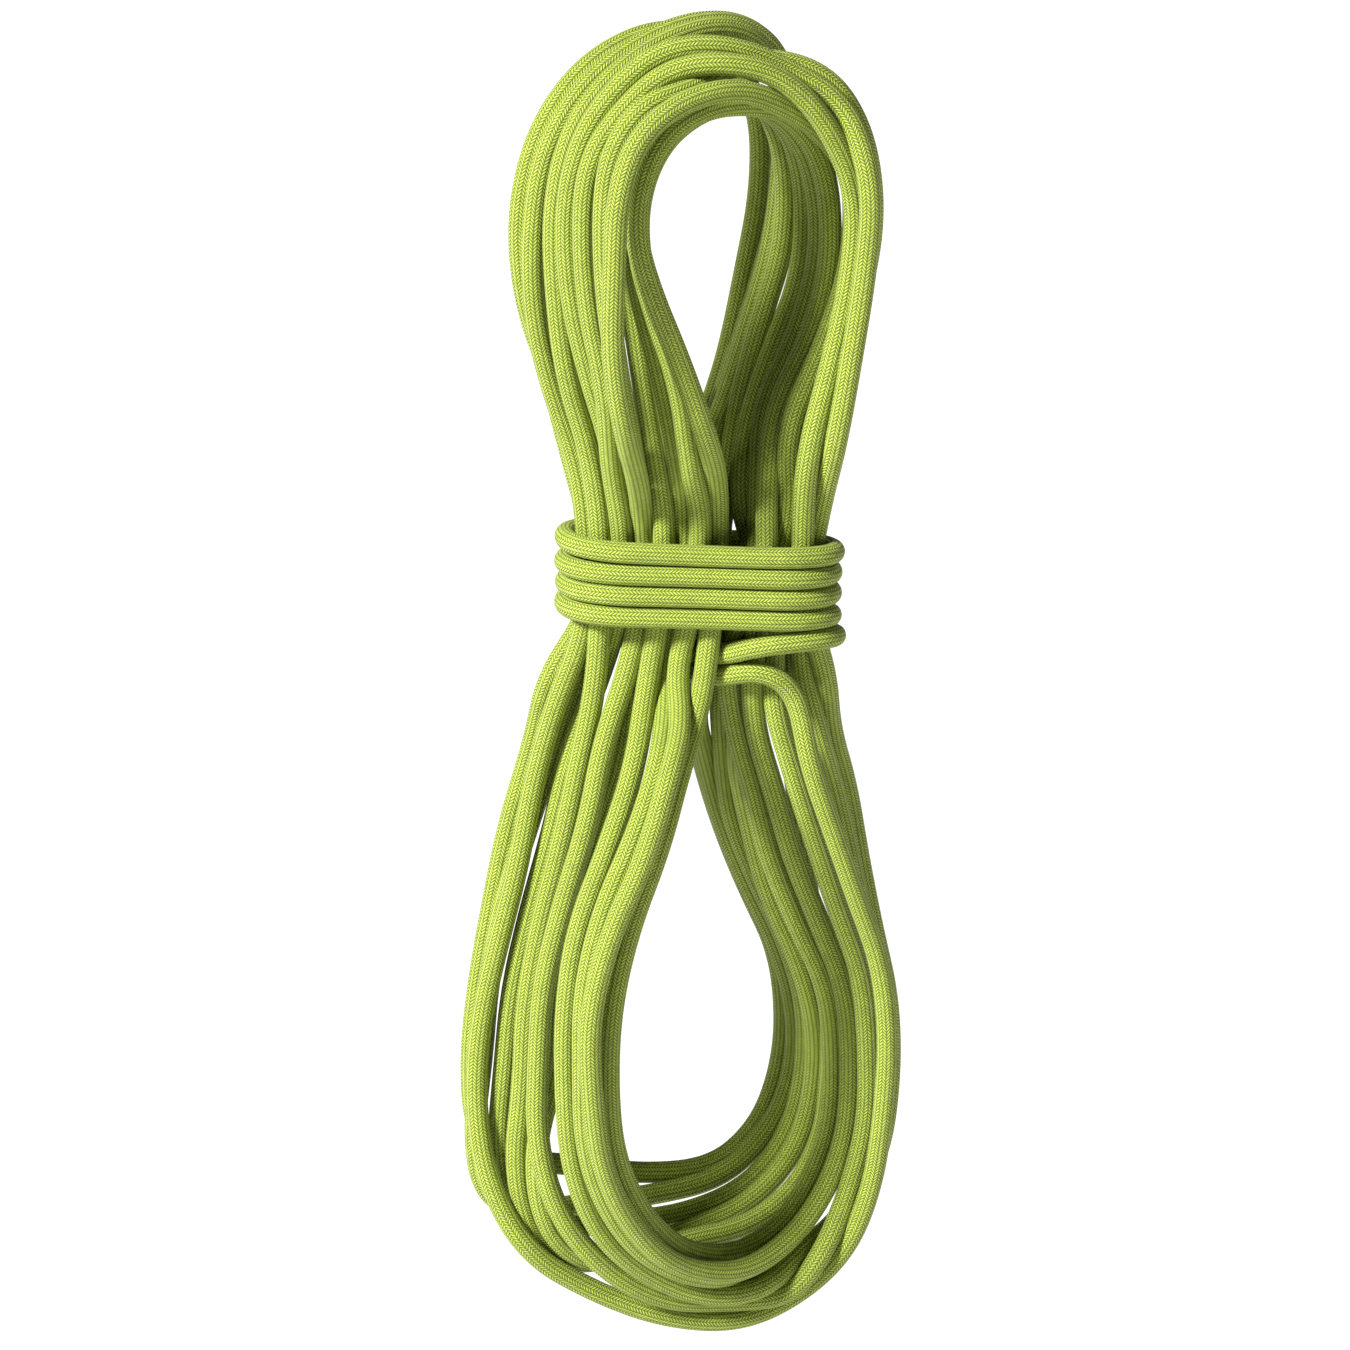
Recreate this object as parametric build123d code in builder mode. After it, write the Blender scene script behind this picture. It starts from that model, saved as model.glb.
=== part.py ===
from build123d import *
import math
import os

os.makedirs("parts", exist_ok=True)

# ---------------------------------------------------------------------------
# Dynamic climbing rope, laid in a hank of eleven long turns and whipped at the
# waist with its own end.  Millimetres, +Z up.  The hank hangs by its upper eye:
# the origin is the point of the top bight that rests on the peg.
# ---------------------------------------------------------------------------

rope_d = 9.8                 # single rope
rope_r = rope_d / 2
turns = 11                   # long turns in the hank
waist_z = -216.0             # height of the middle of the whipping under the peg
whip_twist = 32.0            # the flat waist bundle is turned by this in plan

bundle_a = 55.5              # half width of the strands under the whipping
bundle_b = 17.5              # half depth of the strands under the whipping
whip_t = rope_d              # one strand thick
whip_top = 25.0              # the four whole wraps, above and below the middle
whip_bottom = -17.0
lead_bottom = -38.0          # the two wraps round the right limb only
lead_from = 6.0              # they come out of the gap between the limbs here

sheath_r_in = 4.05           # braided sheath, 0.85 thick
core_r = 0.95                # one twisted core strand
core_ring_in = 1.12          # three inner strands
core_ring_out = 3.04         # nine outer strands
thread_r = 0.14              # identification thread on the axis
sleeve_r = 5.35              # heat-shrink sleeve, outside
sleeve_len = 26.0
tip_len = 3.0                # fused tip

# Ribbon sections round the upper loop, from the right limb over the top to the
# left limb: centre x, y, height over the waist, half depth, half thickness,
# turn of the section's long side from Y towards the outside, and the direction
# round the loop, 0 at the right, 90 at the top, 180 at the left.
upper = [
    (21.5, -12.5, 20.0, 32.0, 8.0, -38.0, 0.0),
    (23.0, -9.5, 36.0, 37.0, 10.0, -31.0, 0.0),
    (33.8, 4.0, 60.0, 49.5, 11.4, -4.0, 0.0),
    (43.2, 2.3, 95.0, 55.0, 9.4, 4.0, 0.0),
    (55.8, 2.3, 130.0, 55.0, 9.4, 4.0, 0.0),
    (61.5, 1.9, 165.0, 55.0, 9.6, 3.0, 0.0),
    (53.9, 1.2, 196.1, 53.8, 10.4, 4.0, 30.0),
    (34.7, 4.4, 225.0, 47.5, 14.6, 6.0, 60.0),
    (0.0, 5.6, 236.9, 43.6, 19.4, 4.0, 90.0),
    (-34.9, 3.4, 225.4, 43.5, 20.1, 3.0, 120.0),
    (-55.9, 0.3, 197.3, 44.0, 20.7, 6.0, 150.0),
    (-61.1, 0.0, 165.0, 43.8, 21.6, 12.0, 180.0),
    (-60.3, -1.3, 130.0, 43.9, 25.0, 18.0, 180.0),
    (-52.3, -2.5, 95.0, 43.2, 24.5, 22.0, 180.0),
    (-34.0, 3.2, 60.0, 39.4, 18.2, 34.0, 180.0),
    (-24.0, 12.0, 36.0, 34.6, 10.5, 39.0, 180.0),
    (-21.5, 14.0, 20.0, 32.0, 8.0, 41.0, 180.0),
]

# The same round the lower loop, from the left limb under the bottom bight and
# up the right limb; here the direction runs 180 left, 270 bottom, 360 right.
lower = [
    (-26.5, 13.0, -22.0, 32.5, 8.5, 37.0, 180.0),
    (-30.0, 11.5, -36.0, 36.0, 10.5, 31.0, 180.0),
    (-38.3, 8.0, -60.0, 45.0, 14.0, 18.0, 180.0),
    (-57.2, 3.8, -100.0, 50.3, 13.8, 8.0, 180.0),
    (-72.2, 4.3, -150.0, 49.8, 13.8, 3.0, 180.0),
    (-81.1, 4.1, -200.0, 50.2, 14.4, 5.0, 180.0),
    (-80.3, 5.3, -245.0, 49.0, 16.3, 8.0, 180.0),
    (-70.0, 6.1, -285.4, 46.9, 21.5, 4.0, 210.0),
    (-40.1, 10.7, -314.4, 45.0, 24.6, -10.0, 240.0),
    (0.0, 14.0, -328.4, 42.8, 23.4, -20.0, 270.0),
    (44.4, 10.8, -321.8, 43.4, 18.4, -16.0, 300.0),
    (77.7, 7.8, -289.8, 46.4, 16.4, -6.0, 330.0),
    (84.4, 4.1, -245.0, 49.8, 17.4, -2.0, 360.0),
    (77.7, 4.7, -200.0, 49.5, 18.8, -9.0, 360.0),
    (60.3, 6.2, -150.0, 49.5, 22.8, -18.0, 360.0),
    (42.9, 4.6, -100.0, 46.4, 24.2, -24.0, 360.0),
    (26.5, -3.0, -60.0, 38.4, 19.8, -32.0, 360.0),
    (20.5, -11.5, -36.0, 36.0, 11.5, -40.0, 360.0),
    (20.0, -12.5, -22.0, 33.0, 9.0, -42.0, 360.0),
]


def ribbon_plane(cx, cy, cz, half_depth, half_thick, turn, around):
    """Plane across the ribbon of turns: local x lies along its depth."""
    c, s = math.cos(math.radians(around)), math.sin(math.radians(around))
    tc, ts = math.cos(math.radians(turn)), math.sin(math.radians(turn))
    return Plane(
        origin=(cx, cy, waist_z + cz),
        x_dir=(ts * c, tc, ts * s),
        z_dir=(-s, 0, c),
    )


waist_plane = Plane(
    origin=(0, 0, waist_z),
    x_dir=(math.cos(math.radians(whip_twist)), -math.sin(math.radians(whip_twist)), 0),
    z_dir=(0, 0, 1),
)

# ---------------------------------------------------------------------------
# The hank: outer shape of the eleven turns, with its two open eyes
# ---------------------------------------------------------------------------
with BuildPart() as rope_hank:
    with BuildSketch(waist_plane.offset(lead_bottom - 4.0)):
        Ellipse(bundle_a, bundle_b)
    extrude(amount=whip_top + 6.0 - (lead_bottom - 4.0))
    for row in upper:
        with BuildSketch(ribbon_plane(*row)):
            RectangleRounded(2 * row[3], 2 * row[4], rope_r)
    loft()
    for row in lower:
        with BuildSketch(ribbon_plane(*row)):
            RectangleRounded(2 * row[3], 2 * row[4], rope_r)
    loft()
rope_hank.part.label = "rope_hank"
export_step(rope_hank.part, "parts/rope_hank.step")
print("rope_hank", len(rope_hank.solids()), round(rope_hank.part.volume))

# ---------------------------------------------------------------------------
# The whipping: four whole wraps round both limbs, as one closed band
# ---------------------------------------------------------------------------
with BuildPart() as waist_wraps:
    with BuildSketch(waist_plane.offset(whip_bottom)):
        Ellipse(bundle_a + whip_t, bundle_b + whip_t)
    extrude(amount=whip_top - whip_bottom)
    rims = waist_wraps.edges().group_by(Axis.Z)
    fillet(rims[0] + rims[-1], radius=0.8)
    with BuildSketch(waist_plane.offset(whip_bottom)):
        Ellipse(bundle_a, bundle_b)
    extrude(amount=whip_top - whip_bottom, mode=Mode.SUBTRACT)
    # the limbs leave the waist a little wider than the bundle
    add(rope_hank.part, mode=Mode.SUBTRACT)
waist_wraps.part.label = "waist_wraps"
export_step(waist_wraps.part, "parts/waist_wraps.step")

# ---------------------------------------------------------------------------
# The lead-in: two wraps round the right limb only, out of the gap between the
# limbs, over its front and round its outer side
# ---------------------------------------------------------------------------
with BuildPart() as lead_in_wraps:
    with BuildSketch(waist_plane.offset(lead_bottom)):
        Ellipse(bundle_a + whip_t, bundle_b + whip_t)
        Ellipse(bundle_a, bundle_b, mode=Mode.SUBTRACT)
        with Locations(((lead_from - 100.0) / 2, 0)):
            Rectangle(100.0 + lead_from, 100.0, mode=Mode.SUBTRACT)
    extrude(amount=whip_bottom - lead_bottom)
    add(rope_hank.part, mode=Mode.SUBTRACT)
lead_in_wraps.part.label = "lead_in_wraps"
export_step(lead_in_wraps.part, "parts/lead_in_wraps.step")

# ---------------------------------------------------------------------------
# The two free ends, at the back of the hank.  The start end hangs down out of
# the whipping, the finish end is tucked up out of it.  Points of each route:
# straight runs joined by tangent arcs, the last run carrying the end sleeve.
# ---------------------------------------------------------------------------
start_route = [(-5.2, 30.0, -17.0), (-5.2, 30.0, -33.0), (-8.2, 33.0, -50.0), (-11.4, 36.6, -83.5)]
finish_route = [(-1.6, 28.8, 25.0), (-1.6, 28.8, 41.0), (1.2, 33.4, 57.5), (5.6, 37.4, 90.0)]


def corner_radii(route):
    """0.45 of the shorter run over the tangent of half the turn, corner by corner."""
    pts = [Vector(*p) for p in route]
    radii = []
    for a, b, c in zip(pts, pts[1:], pts[2:]):
        turn = math.radians((b - a).get_angle(c - b))
        radii.append(0.45 * min((b - a).length, (c - b).length) / math.tan(turn / 2))
    return radii


tails = {}
for tail_name, route in (("start", start_route), ("finish", finish_route)):
    pts = [Vector(p[0], p[1], waist_z + p[2]) for p in route]
    radii = corner_radii(route)
    print(tail_name, "radii", [round(r, 1) for r in radii])
    with BuildLine() as tail_line:
        FilletPolyline(*pts, radius=radii)
    first = (pts[1] - pts[0]).normalized()
    last = (pts[-1] - pts[-2]).normalized()
    side = Vector(0, 1, 0)
    tails[tail_name] = {
        "wire": tail_line.wire(),
        "foot": Plane(origin=pts[0], x_dir=side.cross(first), z_dir=first),
        "end": Plane(origin=pts[-1], x_dir=side.cross(last), z_dir=last),
        "length": tail_line.wire().length,
    }
    print(tail_name, "length", round(tails[tail_name]["length"], 1))

for tail_name, tail in tails.items():
    with BuildPart() as tail_sheath:
        with BuildSketch(tail["foot"]):
            Circle(rope_r)
            Circle(sheath_r_in, mode=Mode.SUBTRACT)
        sweep(path=tail["wire"])
        add(rope_hank.part, mode=Mode.SUBTRACT)  # it lies against the turns
    tail_sheath.part.label = "sheath_" + tail_name + "_tail"
    export_step(tail_sheath.part, "parts/sheath_" + tail_name + "_tail.step")
    want = math.pi * (rope_r**2 - sheath_r_in**2) * tail["length"]
    print(tail_sheath.part.label, "volume share", round(tail_sheath.part.volume / want, 4))

    with BuildPart() as end_sleeve:
        with BuildSketch(tail["end"].offset(-sleeve_len)):
            Circle(sleeve_r)
            Circle(rope_r, mode=Mode.SUBTRACT)
        extrude(amount=sleeve_len)
        outer_rims = end_sleeve.edges().filter_by(GeomType.CIRCLE).sort_by(SortBy.RADIUS)[-2:]
        fillet(outer_rims, radius=0.25)
    end_sleeve.part.label = "end_sleeve_" + tail_name
    export_step(end_sleeve.part, "parts/end_sleeve_" + tail_name + ".step")

    with BuildPart() as fused_tip:
        with BuildSketch(tail["end"]):
            Circle(rope_r)
        extrude(amount=tip_len)
        crown = fused_tip.edges().filter_by(GeomType.CIRCLE)
        far_rim = sorted(crown, key=lambda e: (e.arc_center - tail["end"].origin).length)[-1]
        fillet(far_rim, radius=1.6)
    fused_tip.part.label = "fused_tip_" + tail_name
    export_step(fused_tip.part, "parts/fused_tip_" + tail_name + ".step")

# ---------------------------------------------------------------------------
# The core: three inner and nine outer twisted strands lie side by side along
# the rope, and the identification thread on its axis.  One node per strand,
# with its stretch in each of the two free ends.
# ---------------------------------------------------------------------------
core_places = [(core_ring_in, 30.0 + 120.0 * k) for k in range(3)]
core_places += [(core_ring_out, 10.0 + 40.0 * k) for k in range(9)]
for number, (ring, angle) in enumerate(core_places, start=1):
    with BuildPart() as core_strand:
        for tail in tails.values():
            spot = (ring * math.cos(math.radians(angle)), ring * math.sin(math.radians(angle)))
            with BuildSketch(tail["foot"]):
                with Locations(spot):
                    Circle(core_r)
            sweep(path=tail["wire"])
    core_name = "core_strand_%02d" % number
    core_strand.part.label = core_name
    export_step(core_strand.part, "parts/" + core_name + ".step")

with BuildPart() as marker_thread:
    for tail in tails.values():
        with BuildSketch(tail["foot"]):
            Circle(thread_r)
        sweep(path=tail["wire"])
marker_thread.part.label = "marker_thread"
export_step(marker_thread.part, "parts/marker_thread.step")
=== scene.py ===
import math

import bpy
import numpy as np
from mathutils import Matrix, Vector


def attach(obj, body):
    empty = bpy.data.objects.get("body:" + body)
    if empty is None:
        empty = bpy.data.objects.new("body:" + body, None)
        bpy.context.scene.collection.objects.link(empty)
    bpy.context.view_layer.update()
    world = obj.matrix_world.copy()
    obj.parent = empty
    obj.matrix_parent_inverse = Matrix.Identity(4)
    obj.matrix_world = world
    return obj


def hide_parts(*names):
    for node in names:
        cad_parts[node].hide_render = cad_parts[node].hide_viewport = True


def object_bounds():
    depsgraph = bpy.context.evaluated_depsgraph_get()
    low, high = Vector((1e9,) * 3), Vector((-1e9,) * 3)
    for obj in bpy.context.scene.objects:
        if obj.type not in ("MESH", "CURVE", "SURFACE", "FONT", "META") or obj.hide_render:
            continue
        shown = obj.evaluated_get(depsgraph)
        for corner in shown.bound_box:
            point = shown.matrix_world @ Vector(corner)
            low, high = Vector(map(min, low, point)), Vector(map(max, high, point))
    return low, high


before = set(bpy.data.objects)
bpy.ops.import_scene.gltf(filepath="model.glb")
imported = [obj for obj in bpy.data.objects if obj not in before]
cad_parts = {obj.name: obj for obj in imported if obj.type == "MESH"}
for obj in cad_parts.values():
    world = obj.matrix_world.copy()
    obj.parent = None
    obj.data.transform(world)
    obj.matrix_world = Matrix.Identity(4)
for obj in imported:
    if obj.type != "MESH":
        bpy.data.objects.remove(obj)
cad_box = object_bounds()

ROPE_D = 0.0098
ROPE_R = ROPE_D / 2

# ---------------------------------------------------------------- the route
# Control points of the rope's centreline, in metres, from the start end at
# the back, up under the whipping, round the eleven turns, then the two
# wraps on the right limb, the whole wraps, and the finish end at the back.
ROUTE = [
    (-0.01140, 0.03660, -0.29950), (-0.00820, 0.03300, -0.26600), (-0.00520, 0.03000, -0.24900), (-0.00520, 0.03000, -0.23300),
    (-0.00520, 0.03000, -0.23000), (-0.01420, 0.01042, -0.20928), (-0.01009, 0.00649, -0.18852), (-0.00172, 0.01596, -0.17334),
    (0.01131, 0.03092, -0.17304), (0.02498, 0.04525, -0.17039), (0.03928, 0.05291, -0.15503), (0.04853, 0.05322, -0.13097),
    (0.05657, 0.05318, -0.09643), (0.06493, 0.05306, -0.05916), (0.06245, 0.05027, -0.02086), (0.04467, 0.04715, 0.00927),
    (0.01870, 0.04530, 0.02395), (-0.01028, 0.04361, 0.02430), (-0.03789, 0.04199, 0.01270), (-0.05925, 0.03975, -0.01125),
    (-0.06923, 0.03821, -0.04499), (-0.06586, 0.03831, -0.08329), (-0.05251, 0.03929, -0.11912), (-0.04292, 0.03982, -0.15572),
    (-0.03626, 0.03203, -0.19259), (-0.03576, 0.03181, -0.23092), (-0.05581, 0.03863, -0.26059), (-0.05349, 0.05343, -0.29653),
    (-0.06971, 0.04989, -0.33228), (-0.07723, 0.05156, -0.36933), (-0.08542, 0.05123, -0.40661), (-0.09021, 0.05148, -0.44415),
    (-0.08721, 0.05274, -0.48356), (-0.06448, 0.05238, -0.50208), (-0.03364, 0.05238, -0.51206), (0.00214, 0.05137, -0.52584),
    (0.03958, 0.05022, -0.53144), (0.06270, 0.04947, -0.51709), (0.07394, 0.04928, -0.49481), (0.07870, 0.04963, -0.46615),
    (0.07400, 0.04896, -0.42826), (0.05744, 0.04947, -0.39355), (0.04337, 0.05022, -0.35838), (0.03061, 0.04685, -0.32244),
    (0.01772, 0.03606, -0.28837), (0.00438, 0.01215, -0.26051), (0.00639, 0.01218, -0.22173), (0.00313, 0.00191, -0.18959),
    (0.00642, 0.00613, -0.16588), (0.02101, 0.02553, -0.15960), (0.03670, 0.03558, -0.14504), (0.04633, 0.03469, -0.11752),
    (0.05852, 0.03393, -0.08151), (0.06319, 0.03288, -0.04367), (0.06069, 0.02815, -0.00556), (0.04557, 0.02609, 0.02040),
    (0.02197, 0.02414, 0.03034), (-0.00388, 0.02264, 0.02827), (-0.03052, 0.02090, 0.01825), (-0.05473, 0.01818, -0.00306),
    (-0.06528, 0.01523, -0.03560), (-0.06385, 0.01517, -0.07406), (-0.05915, 0.01515, -0.11171), (-0.04626, 0.01758, -0.14763),
    (-0.04168, 0.01524, -0.18526), (-0.04237, 0.01471, -0.22331), (-0.04346, 0.01721, -0.26109), (-0.05070, 0.02044, -0.29834),
    (-0.06137, 0.01859, -0.33474), (-0.07234, 0.01912, -0.37108), (-0.07995, 0.01911, -0.40829), (-0.08197, 0.01849, -0.44618),
    (-0.08708, 0.01879, -0.48415), (-0.07798, 0.02049, -0.52174), (-0.05784, 0.01879, -0.54274), (-0.03034, 0.02019, -0.54600),
    (0.00166, 0.02211, -0.54427), (0.03950, 0.02101, -0.53929), (0.06541, 0.01997, -0.51817), (0.07538, 0.02007, -0.48875),
    (0.07597, 0.01995, -0.45257), (0.06483, 0.01962, -0.41617), (0.04849, 0.01988, -0.38178), (0.03935, 0.02112, -0.34490),
    (0.02840, 0.01565, -0.30894), (0.02350, 0.00339, -0.27355), (0.01579, -0.00510, -0.23735), (0.01130, 0.00448, -0.20740),
    (0.01728, 0.00670, -0.17701), (0.03457, 0.02470, -0.14816), (0.04613, 0.02555, -0.11172), (0.05895, 0.02401, -0.07573),
    (0.05888, 0.02338, -0.03696), (0.04604, 0.01794, -0.00779), (0.02362, 0.01348, 0.00687), (-0.00148, 0.00827, 0.00876),
    (-0.02480, 0.00347, 0.00164), (-0.04049, -0.00185, -0.01659), (-0.04558, -0.00481, -0.04195), (-0.03871, -0.00477, -0.07288),
    (-0.03367, -0.00608, -0.11079), (-0.02505, -0.00188, -0.14753), (-0.01852, -0.00119, -0.18455), (-0.02133, -0.00110, -0.22263),
    (-0.02525, 0.00405, -0.26098), (-0.04492, -0.01762, -0.28775), (-0.06208, -0.02200, -0.32109), (-0.07593, -0.01877, -0.35691),
    (-0.08241, -0.01928, -0.39444), (-0.08270, -0.01951, -0.43272), (-0.07955, -0.01838, -0.47073), (-0.06603, -0.01684, -0.50693),
    (-0.04156, -0.01406, -0.53563), (-0.00868, -0.01424, -0.55808), (0.01906, -0.02338, -0.55905), (0.04744, -0.01440, -0.54903),
    (0.07182, -0.01647, -0.53463), (0.08242, -0.01601, -0.50640), (0.08505, -0.01485, -0.47088), (0.08552, -0.01552, -0.43264),
    (0.07914, -0.01525, -0.39520), (0.07087, -0.01464, -0.35815), (0.06201, -0.01418, -0.32125), (0.04633, -0.02405, -0.28686),
    (0.03800, -0.02005, -0.25119), (0.04267, -0.02081, -0.21305), (0.04309, -0.03037, -0.17625), (0.03970, -0.04762, -0.14187),
    (0.04551, -0.04988, -0.10373), (0.05393, -0.04746, -0.06688), (0.05524, -0.05099, -0.02741), (0.04985, -0.03717, 0.00614),
    (0.02604, -0.02488, 0.02346), (0.00086, -0.02048, 0.03587), (-0.02548, -0.01137, 0.03684), (-0.04623, -0.00563, 0.02143),
    (-0.06067, 0.00065, -0.00182), (-0.06541, 0.00500, -0.03399), (-0.06259, 0.00547, -0.07230), (-0.05442, 0.00336, -0.10963),
    (-0.04020, 0.00853, -0.14460), (-0.02873, 0.02233, -0.17815), (-0.02524, 0.01809, -0.21611), (-0.02298, 0.01887, -0.25286),
    (-0.03303, 0.00909, -0.28927), (-0.04483, 0.01123, -0.32538), (-0.05911, 0.01033, -0.36078), (-0.06771, 0.01059, -0.39788),
    (-0.06932, 0.00894, -0.43586), (-0.08208, 0.00953, -0.47259), (-0.07845, 0.00935, -0.51049), (-0.06076, 0.00939, -0.53439),
    (-0.03615, 0.00905, -0.54385), (-0.00556, 0.01006, -0.54051), (0.03040, 0.00948, -0.54392), (0.05900, 0.00913, -0.53090),
    (0.07363, 0.00890, -0.50623), (0.07760, 0.00969, -0.47519), (0.07672, 0.00860, -0.43669), (0.06605, 0.00766, -0.40001),
    (0.05994, 0.00792, -0.36258), (0.05628, 0.00738, -0.32436), (0.04232, 0.00126, -0.28928), (0.03695, -0.01172, -0.25314),
    (0.03204, -0.00277, -0.21581), (0.01674, -0.00377, -0.18025), (0.02931, 0.00980, -0.15246), (0.04706, 0.01786, -0.12318),
    (0.06230, 0.01523, -0.08835), (0.06390, 0.01510, -0.04990), (0.05177, 0.00837, -0.01680), (0.02894, 0.00371, 0.00233),
    (0.00321, -0.00189, 0.00780), (-0.02089, -0.00692, 0.00185), (-0.03830, -0.01189, -0.01467), (-0.04528, -0.01501, -0.03888),
    (-0.04068, -0.01424, -0.06758), (-0.03048, -0.01527, -0.10463), (-0.02068, -0.01112, -0.14093), (-0.00937, -0.00241, -0.17652),
    (-0.01075, -0.00049, -0.21416), (-0.01396, 0.00648, -0.25381), (-0.02359, -0.00883, -0.27249), (-0.03981, -0.02901, -0.28366),
    (-0.05379, -0.03361, -0.31077), (-0.07012, -0.03080, -0.34525), (-0.07978, -0.03063, -0.38198), (-0.08071, -0.03133, -0.41990),
    (-0.07813, -0.02823, -0.45766), (-0.06536, -0.02487, -0.49310), (-0.04367, -0.02171, -0.52461), (-0.01167, -0.02278, -0.54532),
    (0.02389, -0.01025, -0.55410), (0.05463, -0.00561, -0.55419), (0.07734, -0.00924, -0.53645), (0.09303, -0.00979, -0.51130),
    (0.09991, -0.00667, -0.47465), (0.09832, -0.00651, -0.43663), (0.08928, -0.00587, -0.39983), (0.08216, -0.00418, -0.36263),
    (0.07430, -0.00603, -0.32553), (0.05926, -0.01452, -0.29146), (0.04804, -0.02856, -0.25783), (0.03464, -0.03045, -0.22238),
    (0.03349, -0.03035, -0.18417), (0.03000, -0.03953, -0.14698), (0.04105, -0.04016, -0.11062), (0.05255, -0.03789, -0.07442),
    (0.05632, -0.03754, -0.03612), (0.03966, -0.03926, -0.00067), (0.01946, -0.03436, 0.02350), (-0.00675, -0.02865, 0.03209),
    (-0.02719, -0.01750, 0.02916), (-0.04697, -0.01286, 0.01342), (-0.06205, -0.00912, -0.00755), (-0.06328, -0.00580, -0.03913),
    (-0.05999, -0.00566, -0.07702), (-0.05238, -0.00827, -0.11480), (-0.04452, 0.00270, -0.15052), (-0.03374, 0.00970, -0.18579),
    (-0.03261, 0.01304, -0.22354), (-0.03540, 0.02603, -0.25916), (-0.04861, 0.03063, -0.29493), (-0.05939, 0.02905, -0.33127),
    (-0.07058, 0.03048, -0.36755), (-0.08013, 0.03123, -0.40443), (-0.08397, 0.03158, -0.44208), (-0.08783, 0.03231, -0.48048),
    (-0.07932, 0.03275, -0.51489), (-0.05532, 0.03206, -0.53070), (-0.02628, 0.03228, -0.53473), (0.01120, 0.03131, -0.54073),
    (0.04653, 0.03029, -0.53483), (0.06823, 0.02966, -0.51289), (0.07693, 0.03002, -0.48446), (0.07713, 0.02998, -0.44801),
    (0.06534, 0.02973, -0.41187), (0.04893, 0.03086, -0.37777), (0.03474, 0.03022, -0.34256), (0.02730, 0.02439, -0.30616),
    (0.01815, 0.01279, -0.27079), (0.02280, 0.00570, -0.23479), (0.02103, -0.01422, -0.20252), (0.02300, -0.01131, -0.17032),
    (0.03390, 0.00391, -0.14195), (0.05296, 0.00341, -0.10910), (0.06455, 0.00348, -0.07314), (0.05925, 0.00117, -0.03429),
    (0.04130, -0.00333, -0.00690), (0.01557, -0.00916, 0.00651), (-0.01029, -0.01488, 0.00747), (-0.03250, -0.01928, -0.00208),
    (-0.04574, -0.02342, -0.02138), (-0.04749, -0.02486, -0.04603), (-0.03897, -0.02408, -0.07438), (-0.02581, -0.02460, -0.11032),
    (-0.01847, -0.01956, -0.14682), (-0.00541, -0.01084, -0.18176), (-0.00951, -0.00944, -0.21882), (-0.01506, -0.00325, -0.25303),
    (-0.02405, -0.02341, -0.27033), (-0.04303, -0.04156, -0.28616), (-0.05524, -0.04354, -0.31820), (-0.07231, -0.04058, -0.35233),
    (-0.08349, -0.04125, -0.38859), (-0.08251, -0.04165, -0.42722), (-0.07589, -0.03864, -0.46459), (-0.05913, -0.03456, -0.49883),
    (-0.03417, -0.03185, -0.52812), (0.00095, -0.02851, -0.54359), (0.03229, -0.02022, -0.54136), (0.05703, -0.01571, -0.52449),
    (0.07295, -0.01164, -0.49765), (0.07625, -0.00908, -0.46199), (0.07242, -0.01007, -0.42384), (0.05791, -0.00992, -0.38873),
    (0.04365, -0.00935, -0.35358), (0.03220, -0.01093, -0.31758), (0.02037, -0.01104, -0.28121), (0.01586, -0.01763, -0.24475),
    (0.01755, -0.02797, -0.20836), (0.02050, -0.02045, -0.17030), (0.03183, -0.00967, -0.13566), (0.05312, -0.01126, -0.10267),
    (0.05921, -0.01367, -0.06540), (0.05520, -0.01298, -0.02634), (0.03744, -0.01321, -0.00184), (0.01241, -0.02120, 0.00861),
    (-0.01300, -0.02494, 0.01201), (-0.03618, -0.02827, 0.00568), (-0.05050, -0.03182, -0.01197), (-0.05422, -0.03344, -0.03495),
    (-0.04714, -0.03423, -0.06072), (-0.03255, -0.03482, -0.09509), (-0.01977, -0.03664, -0.13213), (-0.00221, -0.01737, -0.15932),
    (0.00480, -0.00680, -0.19406), (-0.00324, -0.01459, -0.22731), (-0.00795, -0.01367, -0.26510), (-0.02918, -0.02948, -0.28788),
    (-0.04570, -0.03972, -0.31693), (-0.05819, -0.03450, -0.35361), (-0.06811, -0.03478, -0.38970), (-0.07002, -0.03473, -0.42801),
    (-0.06442, -0.03083, -0.46541), (-0.04773, -0.02506, -0.49949), (-0.02317, -0.01842, -0.52850), (0.00760, -0.01300, -0.54251),
    (0.03577, -0.00915, -0.53910), (0.05721, -0.00364, -0.52264), (0.07149, -0.00004, -0.49765), (0.07328, 0.00107, -0.46429),
    (0.06879, -0.00063, -0.42609), (0.05289, 0.00146, -0.39144), (0.03895, 0.00371, -0.35619), (0.02847, 0.00125, -0.31946),
    (0.01634, -0.00147, -0.28389), (0.00729, -0.00777, -0.24586), (0.02359, -0.01739, -0.21506), (0.03234, -0.02397, -0.17980),
    (0.02874, -0.02361, -0.14176), (0.05009, -0.02111, -0.10878), (0.06330, -0.02251, -0.07342), (0.06608, -0.02059, -0.03413),
    (0.04838, -0.02163, -0.00974), (0.02403, -0.03058, 0.00746), (-0.00395, -0.03479, 0.02218), (-0.03326, -0.03535, 0.02038),
    (-0.05623, -0.03748, 0.00782), (-0.06769, -0.04109, -0.01553), (-0.06922, -0.04155, -0.04567), (-0.07110, -0.04208, -0.08402),
    (-0.06277, -0.03960, -0.12167), (-0.04485, -0.01969, -0.14910), (-0.02748, 0.00460, -0.17478), (-0.02256, 0.00917, -0.20964),
    (-0.02967, 0.00918, -0.24770), (-0.04515, 0.00757, -0.28193), (-0.05744, 0.00110, -0.31747), (-0.06967, 0.00271, -0.35354),
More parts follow.
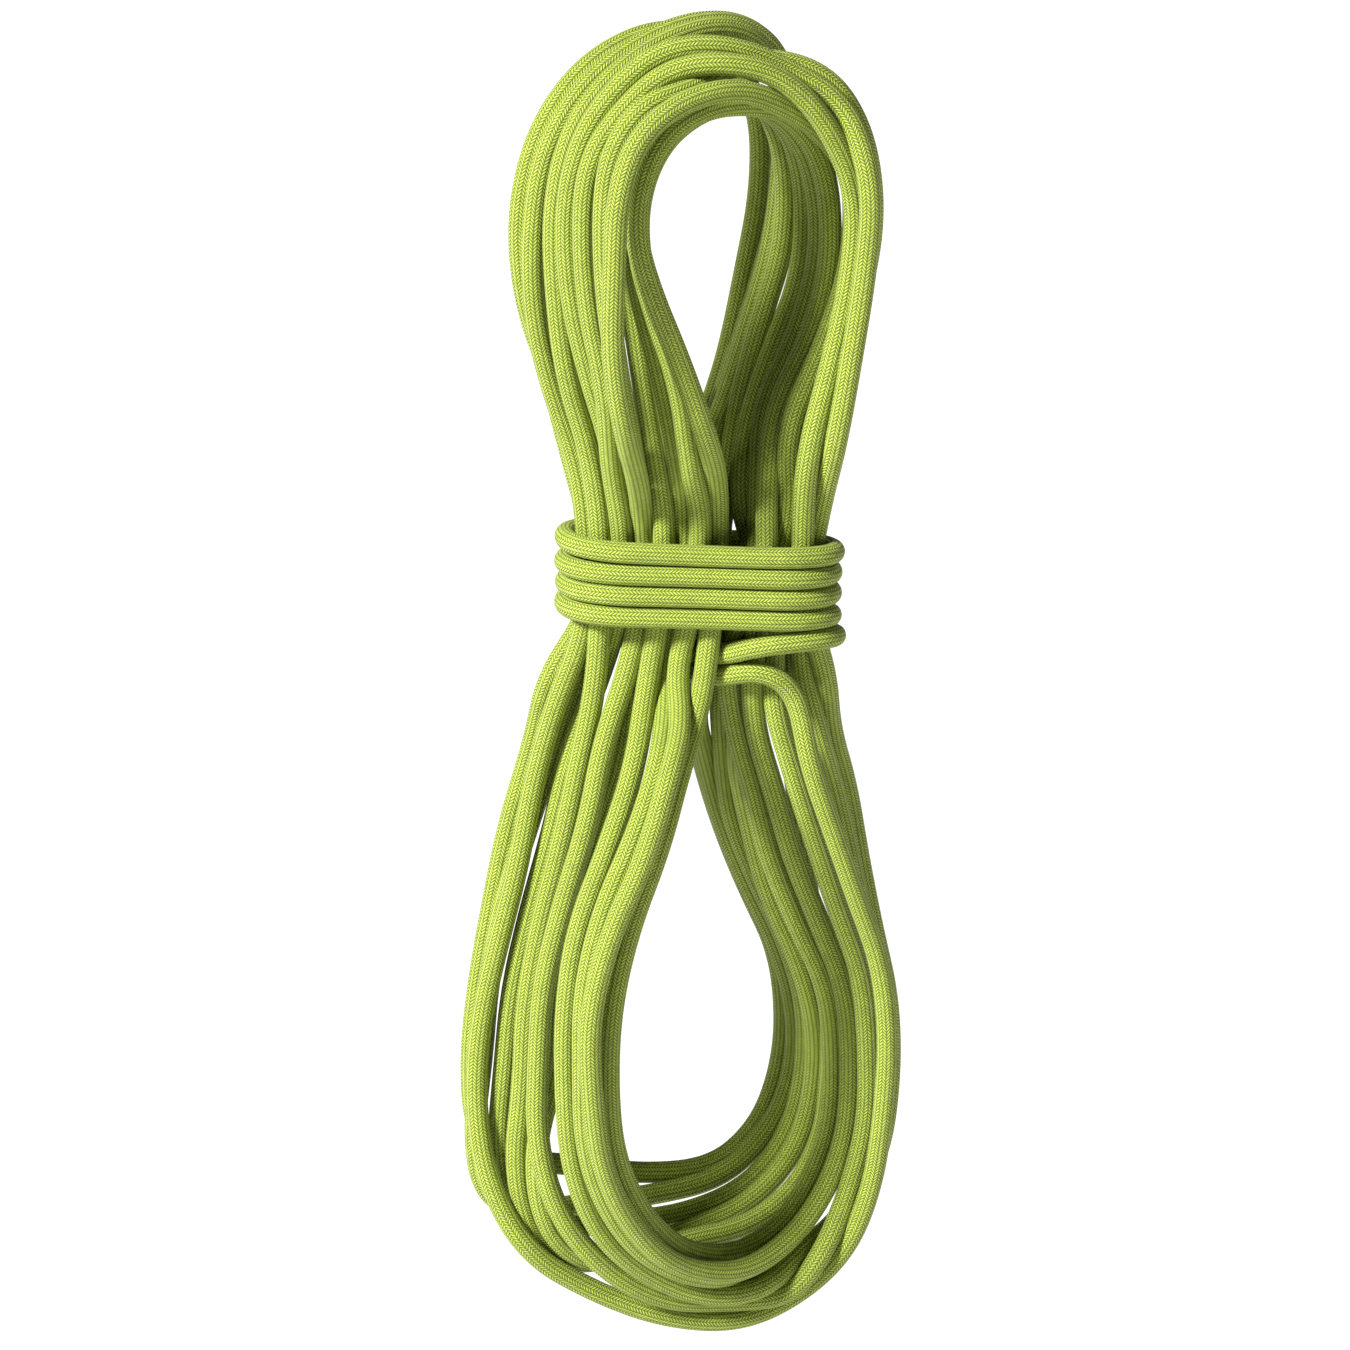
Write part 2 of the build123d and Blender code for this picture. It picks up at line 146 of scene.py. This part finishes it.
    (-0.08054, 0.00292, -0.39005), (-0.08341, 0.00282, -0.42809), (-0.08558, 0.00125, -0.46634), (-0.07710, -0.00286, -0.50359),
    (-0.05499, -0.00728, -0.53526), (-0.02406, -0.00857, -0.55832), (0.01001, -0.00805, -0.56791), (0.03490, -0.02293, -0.56583),
    (0.04988, -0.02732, -0.54575), (0.06807, -0.02049, -0.52210), (0.07586, -0.02421, -0.48739), (0.07503, -0.02500, -0.44866),
    (0.07143, -0.02465, -0.41074), (0.05737, -0.02455, -0.37506), (0.04516, -0.02428, -0.33913), (0.03258, -0.02548, -0.30312),
    (0.02405, -0.01963, -0.26612), (0.03036, -0.01627, -0.22879), (0.04319, -0.01325, -0.19253), (0.03877, -0.02736, -0.15634),
    (0.04491, -0.03409, -0.12018), (0.06098, -0.03272, -0.08525), (0.06909, -0.03177, -0.04807), (0.06298, -0.03166, -0.01001),
    (0.04882, -0.02565, 0.01581), (0.02675, -0.01430, 0.02480), (0.00181, -0.01362, 0.02400), (-0.02063, -0.02508, 0.02045),
    (-0.04454, -0.02477, 0.01833), (-0.05758, -0.02031, -0.00133), (-0.06114, -0.01971, -0.02529), (-0.06052, -0.01964, -0.05694),
    (-0.05646, -0.02109, -0.09479), (-0.04757, -0.01842, -0.13242), (-0.03065, 0.00406, -0.15921), (-0.01530, 0.02086, -0.19059),
    (-0.02196, 0.02889, -0.22441), (-0.04181, 0.03435, -0.25671), (-0.04787, 0.04329, -0.29332), (-0.06335, 0.04136, -0.32829),
    (-0.07704, 0.04124, -0.36371), (-0.08568, 0.04169, -0.40086), (-0.08960, 0.04122, -0.43858), (-0.09364, 0.04355, -0.47673),
    (-0.08702, 0.04626, -0.51079), (-0.06457, 0.04593, -0.52597), (-0.03691, 0.04575, -0.52858), (-0.00006, 0.04414, -0.53327),
    (0.03825, 0.04056, -0.53305), (0.06472, 0.03970, -0.51368), (0.07743, 0.03968, -0.48718), (0.07809, 0.03980, -0.45434),
    (0.06707, 0.03943, -0.41782), (0.05042, 0.04026, -0.38354), (0.03603, 0.03994, -0.34874), (0.02414, 0.03568, -0.31232),
    (0.00730, 0.01701, -0.28328), (0.00644, -0.00081, -0.25000), (-0.00464, 0.00773, -0.22082), (-0.00278, 0.01250, -0.19484),
    (0.01116, 0.01462, -0.17228), (0.02808, 0.03919, -0.16482), (0.04318, 0.04456, -0.14062), (0.05459, 0.04265, -0.10821),
    (0.06600, 0.04212, -0.07183), (0.07092, 0.03853, -0.03383), (0.06520, 0.03494, 0.00446), (0.04541, 0.03504, 0.02423),
    (0.01998, 0.03395, 0.03005), (-0.00799, 0.03199, 0.02657), (-0.03792, 0.03094, 0.01388), (-0.06115, 0.02909, -0.01264),
    (-0.06855, 0.02774, -0.04896), (-0.06735, 0.02807, -0.08723), (-0.05734, 0.02929, -0.12388), (-0.04462, 0.02821, -0.15962),
    (-0.04205, 0.02486, -0.19750), (-0.04407, 0.02386, -0.23548), (-0.05633, 0.03082, -0.27050), (-0.06516, 0.03509, -0.30713),
    (-0.07541, 0.03153, -0.34378), (-0.08573, 0.03267, -0.38030), (-0.09489, 0.03396, -0.41718), (-0.09804, 0.03403, -0.45526),
    (-0.09723, 0.02595, -0.49278), (-0.08428, 0.01304, -0.52679), (-0.05431, 0.00800, -0.55113), (-0.02215, -0.00126, -0.56984),
    (0.01484, -0.00990, -0.57957), (0.04432, -0.01744, -0.56893), (0.06365, -0.02740, -0.54667), (0.07380, -0.03232, -0.51387),
    (0.07424, -0.03912, -0.47599), (0.07504, -0.04140, -0.43794), (0.07076, -0.04091, -0.40000), (0.05694, -0.04123, -0.36427),
    (0.04355, -0.04211, -0.32871), (0.03012, -0.04253, -0.29285), (0.03002, -0.03207, -0.26185), (0.01504, -0.02766, -0.24954),
    (0.00248, -0.01337, -0.25548), (-0.00803, 0.00510, -0.25662), (-0.00168, 0.02432, -0.25682), (0.01983, 0.02387, -0.25639),
    (0.03606, 0.01190, -0.25363), (0.04685, -0.00379, -0.24857), (0.05404, -0.02215, -0.24203), (0.04781, -0.03964, -0.23701),
    (0.02669, -0.03990, -0.23496), (0.00948, -0.02971, -0.23711), (0.00377, -0.01287, -0.24569), (-0.00731, 0.00444, -0.24739),
    (-0.00149, 0.02283, -0.24692), (0.02012, 0.02256, -0.24624), (0.03657, 0.01190, -0.24383), (0.04759, -0.00340, -0.23866),
    (0.05277, -0.02180, -0.23206), (0.04490, -0.03956, -0.22686), (0.02487, -0.03988, -0.22499), (0.00761, -0.03062, -0.22388),
    (-0.01011, -0.01934, -0.22320), (-0.03033, -0.00768, -0.22231), (-0.04842, 0.00445, -0.22198), (-0.05547, 0.02295, -0.22313),
    (-0.04551, 0.04118, -0.22506), (-0.02578, 0.04417, -0.22538), (-0.00634, 0.03931, -0.22401), (0.00855, 0.02637, -0.22309),
    (0.02515, 0.01075, -0.22203), (0.04360, -0.00150, -0.22165), (0.05429, -0.01904, -0.22119), (0.04571, -0.03829, -0.21773),
    (0.02577, -0.04081, -0.21501), (0.00853, -0.03119, -0.21409), (-0.00826, -0.02045, -0.21338), (-0.02777, -0.00910, -0.21244),
    (-0.04615, 0.00214, -0.21187), (-0.05514, 0.01970, -0.21301), (-0.04736, 0.03918, -0.21542), (-0.02793, 0.04315, -0.21575),
    (-0.01087, 0.03300, -0.21379), (0.00535, 0.02184, -0.21284), (0.02516, 0.01045, -0.21243), (0.04288, -0.00178, -0.21221),
    (0.05432, -0.01898, -0.21152), (0.04643, -0.03771, -0.20824), (0.02639, -0.04114, -0.20532), (0.00916, -0.03172, -0.20436),
    (-0.00752, -0.02084, -0.20371), (-0.02710, -0.00961, -0.20273), (-0.04539, 0.00193, -0.20219), (-0.05498, 0.01922, -0.20323),
    (-0.04789, 0.03957, -0.20589), (-0.02897, 0.04235, -0.20628), (-0.01199, 0.03108, -0.20440), (0.00506, 0.02098, -0.20340),
    (0.02498, 0.00930, -0.20294), (0.04292, -0.00307, -0.20272), (0.05455, -0.01996, -0.20183), (0.04728, -0.03866, -0.19844),
    (0.02671, -0.04069, -0.19563), (0.00924, -0.03161, -0.19474), (-0.00775, -0.02074, -0.19406), (-0.02769, -0.00910, -0.19288),
    (-0.04665, 0.00302, -0.19193), (-0.05507, 0.02092, -0.19222), (-0.04665, 0.03946, -0.19442), (-0.03028, 0.04861, -0.19840),
    (-0.00945, 0.04446, -0.20522), (-0.00160, 0.02880, -0.19400), (-0.00160, 0.02880, -0.19100), (-0.00160, 0.02880, -0.17500),
    (0.00120, 0.03340, -0.15850), (0.00560, 0.03740, -0.12600),
]

# ---------------------------------------------------------------- camera
eye = Vector((-1.4912, -2.3656, 0.8712))
look = Vector((0.4913, 0.7863, -0.3746)).normalized()
cam_data = bpy.data.cameras.new("camera")
cam_data.sensor_width = 36.0
cam_data.lens = 182.0
cam_data.clip_end = 120.0
camera = bpy.data.objects.new("camera", cam_data)
camera.location = eye
camera.rotation_euler = look.to_track_quat("-Z", "Y").to_euler()
bpy.context.scene.collection.objects.link(camera)
bpy.context.scene.camera = camera

# ---------------------------------------------------------------- the centreline
line = bpy.data.curves.new("rope_line", "CURVE")
line.dimensions = "3D"
spline = line.splines.new("NURBS")
spline.points.add(len(ROUTE) - 1)
for point, co in zip(spline.points, ROUTE):
    point.co = (*co, 1.0)
spline.order_u = 3
spline.use_endpoint_u = True
spline.resolution_u = 8
line_object = bpy.data.objects.new("rope_line", line)
bpy.context.scene.collection.objects.link(line_object)
bpy.context.view_layer.update()
line_mesh = bpy.data.meshes.new_from_object(line_object)
path = np.array([v.co[:] for v in line_mesh.vertices], float)
bpy.data.objects.remove(line_object)
bpy.data.meshes.remove(line_mesh)

# even steps along the evaluated line, for the tube's rings
gap = np.linalg.norm(np.diff(path, axis=0), axis=1)
path = path[np.r_[True, gap > 1e-7]]
run = np.r_[0.0, np.cumsum(np.linalg.norm(np.diff(path, axis=0), axis=1))]
LENGTH = float(run[-1])
STEP = 0.0046
rings = int(round(LENGTH / STEP)) + 1
s = np.linspace(0.0, LENGTH, rings)
centre = np.stack([np.interp(s, run, path[:, k]) for k in range(3)], 1)

tangent = np.gradient(centre, axis=0)
tangent /= np.linalg.norm(tangent, axis=1)[:, None]
normal = np.zeros_like(tangent)
n = np.cross(tangent[0], (0.0, 1.0, 0.0))
n /= np.linalg.norm(n)
for i in range(rings):
    n = n - tangent[i] * np.dot(tangent[i], n)
    n /= np.linalg.norm(n)
    normal[i] = n
side = np.cross(tangent, normal)


def tube(name, centre, normal, side, s, around, radius):
    """A quad tube with caps; UV x runs once round the rope, UV y along it in metres."""
    rings = len(centre)
    angle = np.arange(around) * 2 * math.pi / around
    co = centre[:, None, :] + radius[:, None, None] * (
        np.cos(angle)[None, :, None] * normal[:, None, :]
        + np.sin(angle)[None, :, None] * side[:, None, :]
    )
    verts = co.reshape(-1, 3)
    i = np.arange(rings - 1)[:, None] * around
    j = np.arange(around)[None, :]
    jn = (j + 1) % around
    quads = np.stack([i + j, i + jn, i + around + jn, i + around + j], -1).reshape(-1, 4)
    mesh = bpy.data.meshes.new(name)
    faces = [tuple(q) for q in quads.tolist()]
    faces.append(tuple(range(around - 1, -1, -1)))
    last = (rings - 1) * around
    faces.append(tuple(range(last, last + around)))
    mesh.from_pydata(verts.tolist(), [], faces)
    uv = mesh.uv_layers.new(name="rope")
    u0 = np.broadcast_to(j / around, (rings - 1, around))
    u1 = np.broadcast_to((j + 1) / around, (rings - 1, around))
    v0 = np.broadcast_to(s[:-1, None], (rings - 1, around))
    v1 = np.broadcast_to(s[1:, None], (rings - 1, around))
    data = np.stack(
        [np.stack([u0, v0], -1), np.stack([u1, v0], -1), np.stack([u1, v1], -1), np.stack([u0, v1], -1)], 2
    ).reshape(-1)
    flat = np.zeros(len(uv.data) * 2)
    flat[: len(data)] = data
    uv.data.foreach_set("uv", flat)
    mesh.polygons.foreach_set("use_smooth", [True] * (len(faces) - 2) + [False, False])
    mesh.update()
    obj = bpy.data.objects.new(name, mesh)
    bpy.context.scene.collection.objects.link(obj)
    return obj


# ---------------------------------------------------------------- materials
def new_material(name):
    m = bpy.data.materials.new(name)
    m.use_nodes = True
    return m, m.node_tree, m.node_tree.nodes["Principled BSDF"]


class Maths:
    """Small helper that writes sums as shader nodes."""

    def __init__(self, tree):
        self.tree = tree

    def op(self, kind, a, b=None, c=None):
        node = self.tree.nodes.new("ShaderNodeMath")
        node.operation = kind
        for k, value in enumerate((a, b, c)):
            if value is None:
                continue
            if isinstance(value, (int, float)):
                node.inputs[k].default_value = value
            else:
                self.tree.links.new(value, node.inputs[k])
        return node.outputs[0]

    def mix(self, factor, a, b, blend="MIX"):
        node = self.tree.nodes.new("ShaderNodeMix")
        node.data_type = "RGBA"
        node.blend_type = blend
        for socket, value in ((node.inputs[0], factor), (node.inputs[6], a), (node.inputs[7], b)):
            if isinstance(value, tuple):
                socket.default_value = value
            elif isinstance(value, (int, float)):
                socket.default_value = value
            else:
                self.tree.links.new(value, socket)
        return node.outputs[2]


COLUMNS = 16.0        # yarn columns round the rope
PITCH = 0.00158       # one yarn float along the rope


def braid_material(name, crest, groove_painted_shade, tint):
    mat, tree, bsdf = new_material(name)
    q = Maths(tree)
    uv = tree.nodes.new("ShaderNodeUVMap")
    uv.uv_map = "rope"
    split = tree.nodes.new("ShaderNodeSeparateXYZ")
    tree.links.new(uv.outputs[0], split.inputs[0])
    x = q.op("MULTIPLY", split.outputs[0], COLUMNS)
    y = q.op("DIVIDE", split.outputs[1], PITCH)
    column = q.op("FLOOR", x)
    fx = q.op("FRACT", x)
    odd = q.op("MODULO", column, 2.0)
    way = q.op("SUBTRACT", 1.0, q.op("MULTIPLY", odd, 2.0))
    lean = q.op("MULTIPLY", q.op("MULTIPLY", q.op("SUBTRACT", fx, 0.5), way), 1.2)
    row = q.op("ADD", y, lean)
    float_id = q.op("FLOOR", row)
    fy = q.op("FRACT", row)
    # rounded ridge across each yarn float, dipping under its neighbour at the column's edges; it drives the bump and
    # also masks the painted shade in the grooves
    ry = q.op("SUBTRACT", 1.0, q.op("POWER", q.op("ABSOLUTE", q.op("SUBTRACT", q.op("MULTIPLY", fy, 2.0), 1.0)), 1.7))
    rx = q.op("SUBTRACT", 1.0, q.op("POWER", q.op("ABSOLUTE", q.op("SUBTRACT", q.op("MULTIPLY", fx, 2.0), 1.0)), 2.2))
    relief_and_shade_mask = q.op("MULTIPLY", ry, q.op("ADD", q.op("MULTIPLY", rx, 0.75), 0.25))
    # filaments inside a yarn, along its lean
    fil = q.op("SINE", q.op("MULTIPLY", fy, 37.7))
    height_f = q.op("ADD", relief_and_shade_mask, q.op("MULTIPLY", fil, 0.035))
    # each float a little lighter or darker
    ident = tree.nodes.new("ShaderNodeCombineXYZ")
    tree.links.new(column, ident.inputs[0])
    tree.links.new(float_id, ident.inputs[1])
    noise = tree.nodes.new("ShaderNodeTexWhiteNoise")
    noise.noise_dimensions = "3D"
    tree.links.new(ident.outputs[0], noise.inputs[0])
    vary = q.op("ADD", q.op("MULTIPLY", noise.outputs[0], 0.20), 0.90)
    # slow change along the rope, from handling
    slow = tree.nodes.new("ShaderNodeTexNoise")
    slow.noise_dimensions = "3D"
    slow.inputs["Scale"].default_value = 14.0
    slow.inputs["Detail"].default_value = 3.0
    co = tree.nodes.new("ShaderNodeTexCoord")
    tree.links.new(co.outputs["Object"], slow.inputs["Vector"])
    slow_v = q.op("ADD", q.op("MULTIPLY", slow.outputs[0], 0.16), 0.92)
    # painted shade: the grooves between yarn floats take the dark groove colour, while the crests keep the rope's own
    # lime colour
    face = q.mix(q.op("POWER", relief_and_shade_mask, 1.05), groove_painted_shade, crest)
    grey = tree.nodes.new("ShaderNodeCombineColor")
    for k in range(3):
        tree.links.new(q.op("MULTIPLY", vary, slow_v), grey.inputs[k])
    colour = q.mix(1.0, face, grey.outputs[0], "MULTIPLY")
    tree.links.new(colour, bsdf.inputs["Base Color"])
    bsdf.inputs["Roughness"].default_value = 0.62
    bsdf.inputs["Specular IOR Level"].default_value = 0.28
    bsdf.inputs["Sheen Weight"].default_value = 0.12
    bsdf.inputs["Sheen Roughness"].default_value = 0.45
    bsdf.inputs["Sheen Tint"].default_value = tint
    bump = tree.nodes.new("ShaderNodeBump")
    bump.inputs["Strength"].default_value = 1.0
    bump.inputs["Distance"].default_value = 0.00042
    tree.links.new(height_f, bump.inputs["Height"])
    tree.links.new(bump.outputs[0], bsdf.inputs["Normal"])
    return mat


def plain_material(name, colour, roughness, noise_scale, noise_depth, bump=0.0):
    mat, tree, bsdf = new_material(name)
    q = Maths(tree)
    co = tree.nodes.new("ShaderNodeTexCoord")
    tex = tree.nodes.new("ShaderNodeTexNoise")
    tex.inputs["Scale"].default_value = noise_scale
    tex.inputs["Detail"].default_value = 4.0
    tree.links.new(co.outputs["Object"], tex.inputs["Vector"])
    darker = tuple(c * (1 - noise_depth) for c in colour[:3]) + (1.0,)
    tree.links.new(q.mix(tex.outputs[0], darker, colour), bsdf.inputs["Base Color"])
    bsdf.inputs["Roughness"].default_value = roughness
    if bump:
        b = tree.nodes.new("ShaderNodeBump")
        b.inputs["Strength"].default_value = 0.5
        b.inputs["Distance"].default_value = bump
        tree.links.new(tex.outputs[0], b.inputs["Height"])
        tree.links.new(b.outputs[0], bsdf.inputs["Normal"])
    return mat


# the rope's own lime colour for the crests, then painted shade for the braid's grooves
sheath = braid_material(
    "sheath_braid", (0.570, 0.670, 0.098, 1.0), (0.036, 0.080, 0.002, 1.0), (0.93, 1.0, 0.55, 1.0)
)
core_mat = plain_material("core_yarn", (0.86, 0.86, 0.80, 1.0), 0.8, 900.0, 0.25, 0.0002)
thread_mat = plain_material("thread_yarn", (0.02, 0.07, 0.35, 1.0), 0.7, 1500.0, 0.3)
sleeve_mat = plain_material("shrink_tube", (0.012, 0.012, 0.013, 1.0), 0.38, 260.0, 0.4, 0.00015)
fused_mat = plain_material("fused_yarn", (0.20, 0.26, 0.02, 1.0), 0.3, 420.0, 0.6, 0.0006)

# ---------------------------------------------------------------- the rope
# the slack turns swell a little, the tight wraps are drawn a little thinner, the ends keep their size
tail = 0.070
whip_from = LENGTH - 1.72


def ramp(value, low, high):
    t = np.clip((value - low) / (high - low), 0.0, 1.0)
    return t * t * (3 - 2 * t)


swell = ramp(s, tail, tail + 0.06) * (1 - ramp(s, whip_from - 0.12, whip_from))
drawn = ramp(s, whip_from, whip_from + 0.10) * (1 - ramp(s, LENGTH - tail - 0.05, LENGTH - tail))
radius = ROPE_R * (1 + 0.045 * swell - 0.012 * drawn)
rope = tube("rope", centre, normal, side, s, 16, radius)
rope.data.materials.append(sheath)
smooth = rope.modifiers.new("round", "SUBSURF")
smooth.levels = 0
smooth.render_levels = 1
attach(rope, "root")
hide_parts("rope_hank", "waist_wraps", "lead_in_wraps", "sheath_start_tail", "sheath_finish_tail")

# ---------------------------------------------------------------- core, thread, sleeves and tips
for name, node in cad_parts.items():
    if name.startswith("core_strand"):
        look_mat = core_mat
    elif name == "marker_thread":
        look_mat = thread_mat
    elif name.startswith("end_sleeve"):
        look_mat = sleeve_mat
    elif name.startswith("fused_tip"):
        look_mat = fused_mat
    else:
        continue
    node.data.materials.clear()
    node.data.materials.append(look_mat)

# ---------------------------------------------------------------- floor and light
low, high = cad_box
floor_z = float(low[2]) - 0.35
floor_mesh = bpy.data.meshes.new("floor")
floor_mesh.from_pydata(
    [(-40, -40, floor_z), (40, -40, floor_z), (40, 40, floor_z), (-40, 40, floor_z)], [], [(0, 1, 2, 3)]
)
floor = bpy.data.objects.new("floor", floor_mesh)
bpy.context.scene.collection.objects.link(floor)
floor_mat, _, floor_bsdf = new_material("floor_pale")
floor_bsdf.inputs["Base Color"].default_value = (0.80, 0.80, 0.80, 1.0)
floor_bsdf.inputs["Roughness"].default_value = 0.9
floor_bsdf.inputs["Specular IOR Level"].default_value = 0.1
floor.data.materials.append(floor_mat)

middle = Vector((0.0, 0.0, -0.27))


def area(name, at, size, power, colour=(1.0, 1.0, 1.0)):
    data = bpy.data.lights.new(name, "AREA")
    data.shape = "DISK"
    data.size = size
    data.energy = power
    data.color = colour
    lamp = bpy.data.objects.new(name, data)
    lamp.location = at
    lamp.rotation_euler = (middle - Vector(at)).to_track_quat("-Z", "Y").to_euler()
    bpy.context.scene.collection.objects.link(lamp)


sun = bpy.data.lights.new("key", "SUN")
sun.energy = 7.2
sun.angle = math.radians(11)
sun_object = bpy.data.objects.new("key", sun)
sun_object.rotation_euler = Vector((0.74, 0.12, -0.60)).to_track_quat("-Z", "Y").to_euler()
bpy.context.scene.collection.objects.link(sun_object)
area("fill", (0.3, -2.9, 0.9), 1.2, 4.0)

world = bpy.data.worlds.new("studio")
world.use_nodes = True
world.node_tree.nodes["Background"].inputs[0].default_value = (1.0, 1.0, 1.0, 1.0)
world.node_tree.nodes["Background"].inputs[1].default_value = 0.06
bpy.context.scene.world = world
bpy.context.scene.view_settings.view_transform = "Standard"

# ---------------------------------------------------------------- update
bpy.context.view_layer.update()
